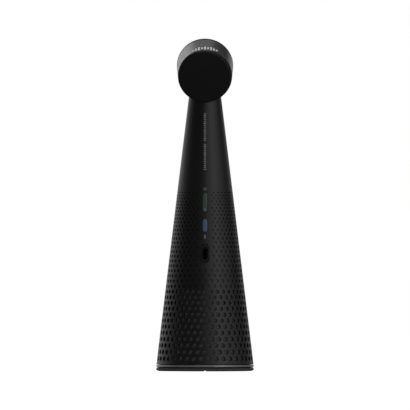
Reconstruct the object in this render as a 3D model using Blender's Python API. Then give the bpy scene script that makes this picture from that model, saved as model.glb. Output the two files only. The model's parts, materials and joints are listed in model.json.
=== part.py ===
"""Conference speakerphone: a tapered speaker body with a tilted round head.

Sizes are in millimetres and turned into metres where a mesh is made.
The origin is the centre of the underside, +Z is up, and the ports and buttons face -Y.
"""

import math

import bmesh
import bpy
from mathutils import Vector

MM = 0.001
GAP = 0.3                 # clearance between neighbouring pieces

# Tapered body
BODY_RADIUS_AT_FLOOR = 44.48
BODY_TAPER = 0.12156      # radius lost per millimetre of height
BODY_BOTTOM = 6.0
BODY_WALL = 1.6
LIP_TOP = 8.6
LIP_INNER_RADIUS = 37.0

# Base
FOOT_TOP = 2.8
COVER_BOTTOM = 3.1
COVER_TOP = 5.7
WEIGHT_TOP = 12.0
LEG_CIRCLE = 29.0
LIP_SCREW_CIRCLE = 39.2

# Speaker
BAFFLE_BOTTOM = 70.0
BAFFLE_TOP = 73.0
CHASSIS_BOTTOM = 98.0
CHASSIS_TOP = 100.0
DRIVER_SCREW_CIRCLE = 25.6

# Rear controls, in heights above the floor
POWER_BUTTON_HEIGHT = 151.7
POWER_BUTTON_LENGTH = 17.7
PAIRING_BUTTON_HEIGHT = 131.0
PAIRING_BUTTON_LENGTH = 11.4
PORT_HEIGHT = 106.0
BUTTON_WIDTH = 4.0
BUTTON_PROUD = 0.25
BUTTON_TRAVEL = 0.6
BOARD_DEPTH = 8.0         # from the outer surface to the main board
BOARD_THICKNESS = 1.6
SPINE_DEPTH = 12.0
SPINE_THICKNESS = 2.0

# Head
HEAD_TILT = 17.0          # degrees, front end higher
HEAD_LENGTH = 36.0
HEAD_REAR_Y = -24.5
HEAD_REAR_Z = 264.4
HEAD_REAR_RADIUS = 24.3
HEAD_FRONT_RADIUS = 25.4
HEAD_EDGE = 2.6           # rounding of the rear edge
BAND_START = 2.9
BAND_END = 32.8
BAND_WALL = 1.2

# Sides of the turned pieces
FINE = 48                 # outer pieces
MEDIUM = 28
COARSE = 20
SMALL = 10                # screws and their holes

COLOURS = {
    # name: (red, green, blue, roughness, metallic)
    "black_plastic": (0.018, 0.018, 0.019, 0.42, 0.0),
    "dark_plastic": (0.012, 0.012, 0.013, 0.6, 0.0),
    "rubber": (0.015, 0.015, 0.015, 0.85, 0.0),
    "satin_trim": (0.16, 0.16, 0.165, 0.35, 0.8),
    "brushed_band": (0.2, 0.2, 0.21, 0.35, 0.9),
    "cloth": (0.008, 0.008, 0.008, 0.95, 0.0),
    "steel": (0.45, 0.45, 0.46, 0.4, 1.0),
    "magnet": (0.06, 0.06, 0.065, 0.5, 0.3),
    "paper_cone": (0.03, 0.03, 0.03, 0.9, 0.0),
    "copper": (0.6, 0.3, 0.15, 0.35, 1.0),
    "board_green": (0.02, 0.11, 0.05, 0.5, 0.0),
    "cell_wrap": (0.05, 0.15, 0.3, 0.4, 0.0),
    "power_tint": (0.02, 0.035, 0.027, 0.3, 0.0),
    "pairing_tint": (0.025, 0.04, 0.08, 0.3, 0.0),
    "diffuser": (0.7, 0.72, 0.75, 0.4, 0.0),
    "glass_black": (0.01, 0.01, 0.012, 0.08, 0.0),
    "flex_film": (0.25, 0.12, 0.04, 0.4, 0.0),
}


def body_radius(height):
    return BODY_RADIUS_AT_FLOOR - BODY_TAPER * height


def head_radius(distance):
    """Radius of the head at a distance from its rear face."""
    return HEAD_REAR_RADIUS + (HEAD_FRONT_RADIUS - HEAD_REAR_RADIUS) * distance / HEAD_LENGTH


def clear_scene():
    for item in list(bpy.data.objects):
        bpy.data.objects.remove(item, do_unlink=True)


def material(name):
    found = bpy.data.materials.get(name)
    if found:
        return found
    red, green, blue, roughness, metallic = COLOURS[name]
    made = bpy.data.materials.new(name)
    made.use_nodes = True
    shader = made.node_tree.nodes["Principled BSDF"]
    shader.inputs["Base Color"].default_value = (red, green, blue, 1.0)
    shader.inputs["Roughness"].default_value = roughness
    shader.inputs["Metallic"].default_value = metallic
    return made


def empty(name, location, tilt_x=0.0, parent=None):
    """A frame that pieces are placed in."""
    made = bpy.data.objects.new(name, None)
    made.location = Vector(location) * MM
    made.rotation_euler = (tilt_x, 0.0, 0.0)
    made.parent = parent
    bpy.context.scene.collection.objects.link(made)
    return made


def finish(name, shape, colour, parent, location, cutter=False):
    """Turn a bmesh in millimetres into an object in metres."""
    bmesh.ops.remove_doubles(shape, verts=shape.verts, dist=1e-4)
    bmesh.ops.recalc_face_normals(shape, faces=shape.faces)
    bmesh.ops.scale(shape, vec=(MM, MM, MM), verts=shape.verts)
    mesh = bpy.data.meshes.new(name)
    shape.to_mesh(mesh)
    shape.free()
    mesh.shade_smooth()
    mesh.set_sharp_from_angle(angle=math.radians(35.0))
    made = bpy.data.objects.new(name, mesh)
    made.location = Vector(location) * MM
    made.parent = parent
    bpy.context.scene.collection.objects.link(made)
    if cutter:
        made.hide_render = True
        made.display_type = "WIRE"
    else:
        mesh.materials.append(material(colour))
    return made


def arc(radius_at, height_at, radius, start, end, steps=4):
    """Points of a profile's rounded corner, from start to end in degrees."""
    points = []
    for step in range(steps + 1):
        angle = math.radians(start + (end - start) * step / steps)
        points.append((radius_at + radius * math.cos(angle), height_at + radius * math.sin(angle)))
    return points


def turned(name, outline, colour=None, parent=None, location=(0, 0, 0), segments=MEDIUM, cutter=False):
    """A solid of revolution about local Z, from (radius, height) points.

    An outline that starts and ends on the axis stays open there; any other is closed.
    """
    shape = bmesh.new()
    corners = [shape.verts.new((radius, 0.0, height)) for radius, height in outline]
    edges = [shape.edges.new(pair) for pair in zip(corners, corners[1:])]
    if outline[0][0] > 0:
        edges.append(shape.edges.new((corners[-1], corners[0])))
    bmesh.ops.spin(shape, geom=corners + edges, cent=(0, 0, 0), axis=(0, 0, 1),
                   angle=math.tau, steps=segments, use_merge=True)
    return finish(name, shape, colour, parent, location, cutter)


def rod(name, radius, bottom, top, colour=None, parent=None, location=(0, 0, 0), segments=COARSE,
        cutter=False):
    outline = [(0, top), (radius, top), (radius, bottom), (0, bottom)]
    return turned(name, outline, colour, parent, location, segments, cutter)


def screw(name, shank, length, head, head_height, parent=None, location=(0, 0, 0)):
    """A pan-head screw, head up, with the underside of its head at the origin."""
    outline = [(0, head_height), (head * 0.7, head_height), (head, head_height * 0.6), (head, 0),
               (shank, 0), (shank, -length), (0, -length)]
    return turned(name, outline, "steel", parent, location, segments=SMALL)


def block(name, low, high, colour=None, parent=None, location=(0, 0, 0), cutter=False):
    """A box between two corners."""
    shape = bmesh.new()
    bmesh.ops.create_cube(shape, size=1.0)
    size = Vector(high) - Vector(low)
    middle = (Vector(high) + Vector(low)) / 2
    bmesh.ops.scale(shape, vec=size, verts=shape.verts)
    bmesh.ops.translate(shape, vec=middle, verts=shape.verts)
    return finish(name, shape, colour, parent, location, cutter)


def pill_outline(width, length, steps=8):
    """Points of a round-ended slot in XZ, its length along Z."""
    radius = width / 2
    straight = length / 2 - radius
    points = []
    for step in range(steps + 1):
        angle = math.pi * step / steps
        points.append((radius * math.cos(angle), straight + radius * math.sin(angle)))
    for step in range(steps + 1):
        angle = math.pi * (1 + step / steps)
        points.append((radius * math.cos(angle), -straight + radius * math.sin(angle)))
    return points


def pill(name, layers, colour=None, parent=None, location=(0, 0, 0), cutter=False):
    """Round-ended slab whose (depth, width, length) layers follow one another along Y."""
    shape = bmesh.new()
    depth, width, length = layers[0]
    ring = [shape.verts.new((x, depth, z)) for x, z in pill_outline(width, length)]
    shape.faces.new(ring)
    for depth, width, length in layers[1:]:
        following = [shape.verts.new((x, depth, z)) for x, z in pill_outline(width, length)]
        for index in range(len(ring)):
            after = (index + 1) % len(ring)
            shape.faces.new((ring[index], ring[after], following[after], following[index]))
        ring = following
    shape.faces.new(ring)
    return finish(name, shape, colour, parent, location, cutter)


def combine(target, tool, operation):
    modifier = target.modifiers.new(tool.name, "BOOLEAN")
    modifier.operation = operation
    modifier.solver = "EXACT"
    modifier.object = tool


def cut(target, tool):
    combine(target, tool, "DIFFERENCE")


def join(target, tool):
    combine(target, tool, "UNION")


def around(count, radius, start=0.0):
    """Places evenly spaced on a circle."""
    places = []
    for index in range(count):
        angle = math.radians(start) + math.tau * index / count
        places.append((radius * math.cos(angle), radius * math.sin(angle), 0.0))
    return places


def make_base():
    foot = turned("foot_ring", [(30.0, 0.0), (41.6, 0.0), (42.7, 0.7), (43.7, 1.5), (43.9, 2.0), (43.9, 2.4),
                                (43.6, FOOT_TOP), (30.0, FOOT_TOP)], "rubber", segments=FINE)
    notch = rod("cut_foot_notch", 1.5, -12.0, 10.0, segments=SMALL, cutter=True)
    notch.location = Vector((0.0, -40.0, -0.8)) * MM
    notch.rotation_euler = (math.radians(90.0), 0.0, 0.0)
    cut(foot, notch)

    cover = turned("bottom_cover", [(0, COVER_TOP), (42.4, COVER_TOP), (42.4, 3.6), (43.6, 3.6),
                                    (43.6, COVER_BOTTOM), (0, COVER_BOTTOM)],
                   "dark_plastic", segments=FINE)
    turned("base_trim_ring", [(42.7, 5.6), (43.7, 5.6), (43.9, 5.4), (43.9, 4.1), (43.7, 3.9),
                              (42.7, 3.9)], "satin_trim", segments=FINE)
    weight = turned("base_weight", [(0, WEIGHT_TOP), (34.6, WEIGHT_TOP), (35.4, 11.2),
                                    (35.4, BODY_BOTTOM), (0, BODY_BOTTOM)], "steel", segments=MEDIUM)
    deflector = turned("sound_deflector", [(0, 38.0), (1.5, 37.4)]
                       + [(24.0 - 22.0 * math.sin(math.radians(a)), 36.0 - 20.0 * math.cos(math.radians(a)))
                          for a in (72, 54, 36, 18, 0)]
                       + [(24.0, WEIGHT_TOP + GAP), (0, WEIGHT_TOP + GAP)], "dark_plastic", segments=COARSE)

    for number, (x, y, _) in enumerate(around(3, LIP_SCREW_CIRCLE, 90.0), 1):
        turn_over(screw(f"base_screw_{number}", 1.0, 4.0, 2.1, 1.1), (x, y, 4.5))
        cut(cover, turned(f"cut_cover_base_{number}", [(0, 7.0), (1.3, 7.0), (1.3, 4.8), (2.4, 4.8),
                                                       (2.4, 2.0), (0, 2.0)],
                          location=(x, y, 0), segments=SMALL, cutter=True))
    for number, (x, y, _) in enumerate(around(3, LEG_CIRCLE, 30.0), 1):
        turn_over(screw(f"leg_screw_{number}", 1.5, 16.0, 2.6, 1.2), (x, y, 4.6))
        cut(cover, turned(f"cut_cover_leg_{number}", [(0, 7.0), (1.8, 7.0), (1.8, 4.9), (2.9, 4.9),
                                                      (2.9, 2.0), (0, 2.0)],
                          location=(x, y, 0), segments=SMALL, cutter=True))
        cut(weight, rod(f"cut_weight_leg_{number}", 1.8, 4.0, 14.0, location=(x, y, 0), segments=SMALL,
                        cutter=True))
    turn_over(screw("weight_screw", 1.5, 16.0, 2.6, 1.2), (0, 0, 4.6))
    cut(cover, turned("cut_cover_centre", [(0, 7.0), (1.8, 7.0), (1.8, 4.9), (2.9, 4.9), (2.9, 2.0),
                                           (0, 2.0)], segments=SMALL, cutter=True))
    cut(weight, rod("cut_weight_centre", 1.8, 4.0, 14.0, segments=SMALL, cutter=True))
    cut(deflector, rod("cut_deflector_centre", 1.8, 10.0, 22.0, segments=SMALL, cutter=True))


def turn_over(piece, place):
    """Point a screw's head down, the underside of the head at place."""
    piece.rotation_euler = (math.pi, 0.0, 0.0)
    piece.location = Vector(place) * MM


def make_body(panel, head):
    wall = BODY_WALL
    top = 262.0
    shell = turned("body_shell", [(body_radius(BODY_BOTTOM), BODY_BOTTOM), (body_radius(top), top),
                                  (body_radius(top) - wall, top),
                                  (body_radius(LIP_TOP) - wall, LIP_TOP), (LIP_INNER_RADIUS, LIP_TOP),
                                  (LIP_INNER_RADIUS, BODY_BOTTOM)], "black_plastic", segments=FINE)
    cut(shell, turned("cut_shell_saddle", head_outline(GAP, 44.0), parent=head, segments=FINE,
                      cutter=True))
    for number, (x, y, _) in enumerate(around(3, LIP_SCREW_CIRCLE, 90.0), 1):
        cut(shell, rod(f"cut_lip_{number}", 1.3, 4.0, 9.4, location=(x, y, 0), segments=SMALL,
                       cutter=True))
    for name, height, width, length in (
            ("power", POWER_BUTTON_HEIGHT, BUTTON_WIDTH, POWER_BUTTON_LENGTH),
            ("pairing", PAIRING_BUTTON_HEIGHT, BUTTON_WIDTH, PAIRING_BUTTON_LENGTH),
            ("port", PORT_HEIGHT, 7.4, 16.4)):
        size = (width + 2 * GAP, length + 2 * GAP)
        cut(shell, pill(f"cut_shell_{name}", [(-4.0, *size), (6.0, *size)], parent=panel,
                        location=(0, 0, panel_height(height)), cutter=True))

    sleeve = wall + GAP
    low, high = 9.0, 86.0
    turned("grille_cloth", [(body_radius(low) - sleeve, low), (body_radius(high) - sleeve, high),
                            (body_radius(high) - sleeve - 0.6, high),
                            (body_radius(low) - sleeve - 0.6, low)], "cloth", segments=FINE)

    port = (0, 0, panel_height(PORT_HEIGHT))
    bezel = pill("port_bezel", [(0.15, 6.6, 15.6), (0.5, 7.4, 16.4), (2.7, 7.4, 16.4)],
                 "dark_plastic", parent=panel, location=port)
    cut(bezel, pill("cut_bezel_mouth", [(-2.0, 6.4, 12.3), (0.8, 5.2, 11.1), (5.0, 5.2, 11.1)],
                    parent=panel, location=port, cutter=True))


def panel_height(height):
    """Distance along the body's rear line from the floor to a height."""
    return height * math.hypot(1.0, BODY_TAPER)


def head_outline(grow, end):
    """Profile of the whole head, grown by a clearance, from its rear face to a distance."""
    edge = HEAD_EDGE
    corner = head_radius(edge) - edge
    rear = arc(corner, edge, edge + grow, -90.0, 0.0, 6)
    return [(0, -grow)] + rear + [(head_radius(end) + grow, end), (0, end)]


def make_speaker_box():
    box = turned("speaker_box", [(22.4, BAFFLE_BOTTOM), (32.0, BAFFLE_BOTTOM), (32.0, BAFFLE_TOP),
                                 (29.2, 74.0), (29.2, CHASSIS_BOTTOM - GAP),
                                 (27.6, CHASSIS_BOTTOM - GAP), (27.6, BAFFLE_TOP), (22.4, BAFFLE_TOP)],
                 "dark_plastic", segments=MEDIUM)
    for number, (x, y, _) in enumerate(around(3, LEG_CIRCLE, 30.0), 1):
        join(box, rod(f"add_leg_{number}", 2.8, WEIGHT_TOP + GAP, 71.0, location=(x, y, 0),
                      segments=SMALL, cutter=True))
        cut(box, rod(f"cut_leg_bore_{number}", 1.8, 10.0, 22.0, location=(x, y, 0), segments=SMALL,
                     cutter=True))
    for number, (x, y, _) in enumerate(around(4, DRIVER_SCREW_CIRCLE, 45.0), 1):
        screw(f"driver_screw_{number}", 0.8, 3.4, 1.5, 1.0, location=(x, y, 75.1))
        cut(box, rod(f"cut_baffle_screw_{number}", 1.1, 71.0, 80.0, location=(x, y, 0), segments=SMALL,
                     cutter=True))
    cut(box, rod("cut_lead_hole", 2.0, CHASSIS_BOTTOM - 8.0, CHASSIS_BOTTOM + 4.0,
                 location=(0, -28.4, 0), segments=SMALL, cutter=True))


def make_driver(travel_axis):
    frame = turned("speaker_frame", [(22.5, 73.3), (27.2, 73.3), (27.2, 74.8), (24.0, 74.8),
                                     (14.4, 85.7), (13.4, 86.6), (8.6, 86.6), (8.6, 85.6),
                                     (12.9, 85.6), (22.5, 75.2)], "steel", segments=MEDIUM)
    for number, (x, y, _) in enumerate(around(4, DRIVER_SCREW_CIRCLE, 45.0), 1):
        cut(frame, rod(f"cut_frame_screw_{number}", 1.1, 70.0, 80.0, location=(x, y, 0), segments=SMALL,
                       cutter=True))
    for number, angle in enumerate((0.0, 90.0), 1):
        window = block(f"cut_frame_window_{number}", (-40.0, -4.5, 77.0), (40.0, 4.5, 83.6), cutter=True)
        window.rotation_euler = (0.0, 0.0, math.radians(angle))
        cut(frame, window)
    turned("speaker_top_plate", [(8.4, 86.9), (16.0, 86.9), (16.0, 88.9), (8.4, 88.9)], "steel",
           segments=COARSE)
    turned("speaker_magnet", [(9.6, 89.2), (17.0, 89.2), (17.0, 93.4), (9.6, 93.4)], "magnet",
           segments=COARSE)
    turned("speaker_yoke", [(0, 95.9), (16.5, 95.9), (16.5, 93.7), (7.0, 93.7), (7.0, 86.9),
                            (0, 86.9)], "steel", segments=COARSE)
    moving = {"parent": travel_axis, "segments": COARSE}
    turned("voice_coil", [(7.4, 82.6), (8.0, 82.6), (8.0, 91.0), (7.4, 91.0)], "copper", **moving)
    turned("speaker_cone", [(7.2, 81.6), (8.4, 82.1), (19.0, 75.0), (19.0, 74.2), (8.2, 81.1),
                            (7.2, 81.1)], "paper_cone", **moving)
    turned("dust_cap", [(0, 80.0)] + [(7.0 * math.sin(math.radians(a)),
                                       86.0 - 6.0 * math.cos(math.radians(a))) for a in (20, 40, 60)]
           + [(6.1, 83.4), (0, 83.4)], "paper_cone", **moving)
    roll = [(20.7 + 1.4 * math.cos(math.radians(a)), 74.0 + 1.4 * math.sin(math.radians(a)))
            for a in range(180, -1, -45)]
    under = [(20.7 + 1.0 * math.cos(math.radians(a)), 73.8 + 1.1 * math.sin(math.radians(a)))
             for a in range(0, 181, 45)]
    turned("speaker_surround", roll + under, "rubber", segments=COARSE)
    wave = [(8.5 + 0.7 * step, 84.5 + (0.25 if step % 2 else -0.25)) for step in range(6)]
    turned("speaker_spider", [(r, z + 0.2) for r, z in wave] + [(r, z - 0.2) for r, z in reversed(wave)],
           "cell_wrap", segments=COARSE)


def make_chassis(panel):
    chassis = turned("inner_chassis", [(0, CHASSIS_TOP), (28.9, CHASSIS_TOP), (28.9, CHASSIS_BOTTOM),
                                       (0, CHASSIS_BOTTOM)], "dark_plastic", segments=MEDIUM)
    foot = panel_height(CHASSIS_BOTTOM + 0.8)
    spine = block("cut_spine", (-10.5, SPINE_DEPTH, foot),
                  (10.5, SPINE_DEPTH + SPINE_THICKNESS, panel_height(188.0)), parent=panel, cutter=True)
    join(chassis, spine)
    for number, height in enumerate((121.0, 170.0), 1):
        place = (7.2, 0, panel_height(height))
        post = turned(f"cut_post_{number}", depth_outline(2.2, BOARD_DEPTH + BOARD_THICKNESS + GAP,
                                                          SPINE_DEPTH + 1.0), segments=SMALL, cutter=True)
        hole = turned(f"cut_post_hole_{number}", depth_outline(1.1, 7.0, SPINE_DEPTH + 3.0),
                      segments=SMALL, cutter=True)
        for piece in (post, hole):
            piece.parent = panel
            piece.rotation_euler = (math.radians(-90.0), 0.0, 0.0)
            piece.location = Vector(place) * MM
        join(chassis, post)
        cut(chassis, hole)
        fastener = screw(f"board_screw_{number}", 0.8, 6.0, 1.8, 1.0)
        fastener.parent = panel
        fastener.rotation_euler = (math.radians(90.0), 0.0, 0.0)
        fastener.location = Vector((7.2, BOARD_DEPTH - GAP, panel_height(height))) * MM
    cut(chassis, rod("cut_chassis_lead", 2.0, 90.0, 104.0, location=(-14.0, -18.0, 0), segments=SMALL,
                     cutter=True))

    holder = turned("battery_holder", [(9.6, CHASSIS_TOP + GAP), (11.0, CHASSIS_TOP + GAP),
                                       (11.0, 174.0), (9.6, 174.0)], "dark_plastic",
                    location=(0, 5.0, 0), segments=COARSE)
    cut(holder, block("cut_holder_front", (-7.0, 5.0, 99.0), (7.0, 20.0, 180.0), cutter=True))
    turned("battery_cell", [(0, 170.5), (2.6, 170.5), (2.6, 169.6), (8.4, 169.6), (9.1, 168.9),
                            (9.1, 104.9), (8.6, 104.4), (0, 104.4)], "cell_wrap",
           location=(0, 5.0, 0), segments=COARSE)


def depth_outline(radius, near, far):
    """Profile of a rod between two depths."""
    return [(0, far), (radius, far), (radius, near), (0, near)]


def make_electronics(panel):
    near, far = BOARD_DEPTH, BOARD_DEPTH + BOARD_THICKNESS
    board = block("main_board", (-10.0, near, panel_height(102.0)), (10.0, far, panel_height(180.0)),
                  "board_green", parent=panel)
    for number, height in enumerate((121.0, 170.0), 1):
        hole = turned(f"cut_board_{number}", depth_outline(1.1, near - 3.0, far + 3.0), segments=SMALL,
                      cutter=True)
        hole.parent = panel
        hole.rotation_euler = (math.radians(-90.0), 0.0, 0.0)
        hole.location = Vector((7.2, 0, panel_height(height))) * MM
        cut(board, hole)

    port = (0, 0, panel_height(PORT_HEIGHT))
    receptacle = pill("usb_c_receptacle", [(1.2, 3.2, 8.9), (near - GAP, 3.2, 8.9)], "steel",
                      parent=panel, location=port)
    cut(receptacle, pill("cut_usb_mouth", [(0.0, 2.6, 8.3), (6.8, 2.6, 8.3)], parent=panel,
                         location=port, cutter=True))
    join(receptacle, block("add_usb_tongue", (-0.35, 2.0, -3.2), (0.35, 7.2, 3.2), parent=panel,
                           location=port, cutter=True))

    for name, height in (("power_switch", POWER_BUTTON_HEIGHT), ("pairing_switch", PAIRING_BUTTON_HEIGHT)):
        block(name, (-1.8, 6.5, -2.0), (1.8, near - GAP, 2.0), "magnet", parent=panel,
              location=(0, 0, panel_height(height)))

    lead_path = [(-14.0, -18.0, 101.6), (-14.0, -18.0, 92.0), (-14.6, -16.0, 88.0), (-15.5, -12.0, 86.4)]
    wire("speaker_lead", lead_path, 0.9, "copper")
    ribbon_path = [(0.0, -13.7, 180.6), (0.0, -12.4, 190.0), (0.0, -9.0, 200.0), (0.0, -3.5, 210.0),
                   (0.0, 0.3, 220.0), (0.0, 1.0, 246.0), (0.0, 2.0, 254.0), (0.0, 4.5, 262.0),
                   (0.0, 6.6, 268.0)]
    ribbon("head_ribbon_cable", ribbon_path, 8.0, 0.4, "flex_film")


def wire(name, path, radius, colour):
    """A round lead along a path."""
    curve = bpy.data.curves.new(name, "CURVE")
    curve.dimensions = "3D"
    curve.bevel_depth = radius * MM
    curve.bevel_resolution = 1
    curve.use_fill_caps = True
    line = curve.splines.new("POLY")
    line.points.add(len(path) - 1)
    for point, place in zip(line.points, path):
        point.co = (*(Vector(place) * MM), 1.0)
    curve.materials.append(material(colour))
    made = bpy.data.objects.new(name, curve)
    bpy.context.scene.collection.objects.link(made)
    return made


def ribbon(name, path, width, thickness, colour):
    """A flat cable that bends in the YZ plane."""
    shape = bmesh.new()
    rows = []
    for index, place in enumerate(path):
        before = Vector(path[max(index - 1, 0)])
        after = Vector(path[min(index + 1, len(path) - 1)])
        along = (after - before).normalized()
        side = Vector((0.0, -along.z, along.y)) * thickness / 2
        middle = Vector(place)
        half = Vector((width / 2, 0.0, 0.0))
        rows.append([shape.verts.new(middle + x + y) for x, y in
                     ((-half, -side), (half, -side), (half, side), (-half, side))])
    for row, following in zip(rows, rows[1:]):
        for index in range(4):
            after = (index + 1) % 4
            shape.faces.new((row[index], row[after], following[after], following[index]))
    shape.faces.new(rows[0])
    shape.faces.new(rows[-1])
    return finish(name, shape, colour, None, (0, 0, 0))


def make_buttons(panel):
    flange = BUTTON_WIDTH + 2.0
    plunger_end = 6.5 - GAP - BUTTON_TRAVEL
    for name, height, length, colour in (
            ("power_button", POWER_BUTTON_HEIGHT, POWER_BUTTON_LENGTH, "power_tint"),
            ("pairing_button", PAIRING_BUTTON_HEIGHT, PAIRING_BUTTON_LENGTH, "pairing_tint")):
        axis = empty(f"{name}_axis", (0, 0, panel_height(height)), parent=panel)
        extra = flange - BUTTON_WIDTH
        button = pill(name, [(-BUTTON_PROUD, BUTTON_WIDTH - 0.4, length - 0.4),
                             (-BUTTON_PROUD + 0.2, BUTTON_WIDTH, length), (2.9, BUTTON_WIDTH, length),
                             (2.9, flange, length + extra), (3.7, flange, length + extra)],
                      colour, parent=axis)
        plunger = rod(f"add_{name}_plunger", 1.2, 3.2, plunger_end, segments=SMALL, cutter=True)
        plunger.parent = axis
        plunger.rotation_euler = (math.radians(-90.0), 0.0, 0.0)
        join(button, plunger)
        if name == "power_button":
            lamp = (0, 0, -length / 2 + 2.6)
            pocket = turned("cut_indicator_pocket", depth_outline(1.1, -1.0, 1.5), segments=SMALL,
                            cutter=True)
            lens = turned("power_indicator_lens", depth_outline(0.8, -BUTTON_PROUD + 0.05, 1.2),
                          "diffuser", segments=SMALL)
            for piece in (pocket, lens):
                piece.parent = axis
                piece.rotation_euler = (math.radians(-90.0), 0.0, 0.0)
                piece.location = Vector(lamp) * MM
            cut(button, pocket)


def make_neck(head):
    neck = turned("neck_insert", [(body_radius(214.0) - BODY_WALL - GAP, 214.0),
                                  (body_radius(238.0) - BODY_WALL - GAP, 238.0), (9.4, 240.0),
                                  (9.4, 249.5), (7.0, 249.5), (7.0, 238.0), (11.0, 232.0),
                                  (11.8, 214.0)], "dark_plastic", segments=MEDIUM)
    tongue = block("add_tongue", (-6.0, 2.0, 13.2), (6.0, 22.8, 16.2), parent=head, cutter=True)
    join(neck, tongue)
    plate = turned("head_frame", [(0, 18.5), (23.3, 18.5), (23.3, 16.5), (0, 16.5)], "dark_plastic",
                   parent=head, segments=MEDIUM)
    cut(plate, rod("cut_frame_neck", 9.4 + GAP, 236.0, 250.5, segments=COARSE, cutter=True))
    for number, height in enumerate((6.0, 14.0), 1):
        place = (0, height, 0)
        screw(f"head_screw_{number}", 1.0, 5.0, 2.0, 1.2, parent=head, location=(0, height, 18.8))
        cut(plate, rod(f"cut_plate_screw_{number}", 1.3, 15.0, 20.0, parent=head, location=place,
                       segments=SMALL, cutter=True))
        cut(neck, rod(f"cut_tongue_screw_{number}", 1.3, 11.0, 18.0, parent=head, location=place,
                      segments=SMALL, cutter=True))


def make_head(head):
    start, end = BAND_START, BAND_END
    wall = BAND_WALL
    band = turned("head_band", [(head_radius(start), start), (head_radius(end), end),
                                (head_radius(end) - wall, end), (head_radius(start) - wall, start)],
                  "brushed_band", parent=head, segments=FINE)
    cut(band, rod("cut_band_neck", 9.7, 232.0, 256.0, segments=COARSE, cutter=True))

    edge = HEAD_EDGE
    rear = arc(head_radius(edge) - edge, edge, edge, -90.0, 0.0, 4)
    turned("rear_cap", [(0, 0)] + rear
           + [(head_radius(0) - wall - GAP, edge), (head_radius(0) - wall - GAP, 5.2),
              (head_radius(0) - wall - GAP - 1.4, 5.2), (head_radius(0) - wall - GAP - 1.4, 1.8), (0, 1.8)],
           "black_plastic", parent=head, segments=FINE)

    length = HEAD_LENGTH
    bezel = turned("front_bezel", [(22.0, 31.0), (23.7, 31.0), (23.7, end + GAP),
                                   (head_radius(end), end + GAP)]
                   + arc(head_radius(length) - 0.8, length - 0.8, 0.8, 0.0, 90.0, 3)
                   + [(22.9, length), (22.9, 33.6), (22.0, 33.6)],
                   "black_plastic", parent=head, segments=FINE)
    turned("light_ring", [(20.6, 33.9), (22.6, 33.9), (22.6, 35.7), (20.6, 35.7)], "diffuser", parent=head,
           segments=FINE)
    turned("touch_lens", [(0, 35.4), (19.9, 35.4), (20.3, 35.0), (20.3, 33.9), (0, 33.9)], "glass_black",
           parent=head, segments=FINE)
    turned("touch_board", [(0, 33.6), (21.6, 33.6), (21.6, 32.2), (0, 32.2)], "board_green", parent=head,
           segments=COARSE)
    for number, (x, y, _) in enumerate(around(4, 17.0, 45.0), 1):
        block(f"microphone_{number}", (x - 1.9, y - 1.5, 30.8), (x + 1.9, y + 1.5, 31.9), "steel",
              parent=head)


def build():
    clear_scene()
    panel = empty("panel_frame", (0.0, -BODY_RADIUS_AT_FLOOR, 0.0), -math.atan(BODY_TAPER))
    head = empty("head_frame_axis", (0.0, HEAD_REAR_Y, HEAD_REAR_Z), -math.radians(90.0 - HEAD_TILT))
    travel = empty("speaker_travel_axis", (0.0, 0.0, 0.0))
    make_base()
    make_body(panel, head)
    make_speaker_box()
    make_driver(travel)
    make_chassis(panel)
    make_electronics(panel)
    make_buttons(panel)
    make_neck(head)
    make_head(head)


build()
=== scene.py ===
import json
import math

import bmesh
import bpy
import numpy as np
from mathutils import Matrix, Vector


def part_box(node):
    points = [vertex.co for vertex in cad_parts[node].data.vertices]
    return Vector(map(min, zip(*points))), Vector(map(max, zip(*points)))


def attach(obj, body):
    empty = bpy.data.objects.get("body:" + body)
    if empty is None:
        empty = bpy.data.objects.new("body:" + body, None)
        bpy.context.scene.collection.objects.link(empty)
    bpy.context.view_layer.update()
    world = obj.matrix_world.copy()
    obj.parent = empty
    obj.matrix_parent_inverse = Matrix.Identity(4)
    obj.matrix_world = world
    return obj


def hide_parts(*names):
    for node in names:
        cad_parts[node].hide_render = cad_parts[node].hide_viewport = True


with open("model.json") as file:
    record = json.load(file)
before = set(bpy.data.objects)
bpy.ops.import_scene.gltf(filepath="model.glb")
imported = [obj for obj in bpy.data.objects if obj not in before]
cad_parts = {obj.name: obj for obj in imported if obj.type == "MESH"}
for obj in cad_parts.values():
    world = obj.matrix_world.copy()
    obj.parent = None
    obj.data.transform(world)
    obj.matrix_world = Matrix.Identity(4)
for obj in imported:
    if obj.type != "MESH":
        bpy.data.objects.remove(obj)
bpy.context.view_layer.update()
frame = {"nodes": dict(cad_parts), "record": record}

mm = 0.001
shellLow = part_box("body_shell")[0] / mm

# sizes are in millimetres

body = dict(
    floorRadius=44.48,      # radius that the cone would have at the floor
    taper=0.12156,          # radius lost for each millimetre of height
    bottom=shellLow.z,
    top=262.0,              # before the head is cut out of it
    wall=1.6,
    lipTop=8.6,
    lipRadius=37.0,
)
head = dict(
    tilt=17.0,              # degrees, front end higher
    length=36.0,
    rear=(0.0, -24.5, 264.4),
    rearRadius=24.3,
    frontRadius=25.4,
    edge=2.6,               # rounding of the rear edge
    bandStart=2.9,
    bandEnd=32.8,
    bandWall=1.2,
)
clearance = 0.3             # gap between neighbouring pieces
slope = math.hypot(1.0, body["taper"])


def bodyRadius(height):
    return body["floorRadius"] - body["taper"] * height


def headRadius(distance):
    return head["rearRadius"] + (head["frontRadius"] - head["rearRadius"]) * distance / head["length"]


headFrame = Matrix.Translation(head["rear"]) @ Matrix.Rotation(math.radians(head["tilt"] - 90.0), 4, "X")


def panelFrame(height):
    # X across, Y into the body, Z up the rear line of the cone, centred at a height
    lean = Matrix.Rotation(-math.atan(body["taper"]), 4, "X")
    return Matrix.Translation((0.0, -bodyRadius(height), height)) @ lean


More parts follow.
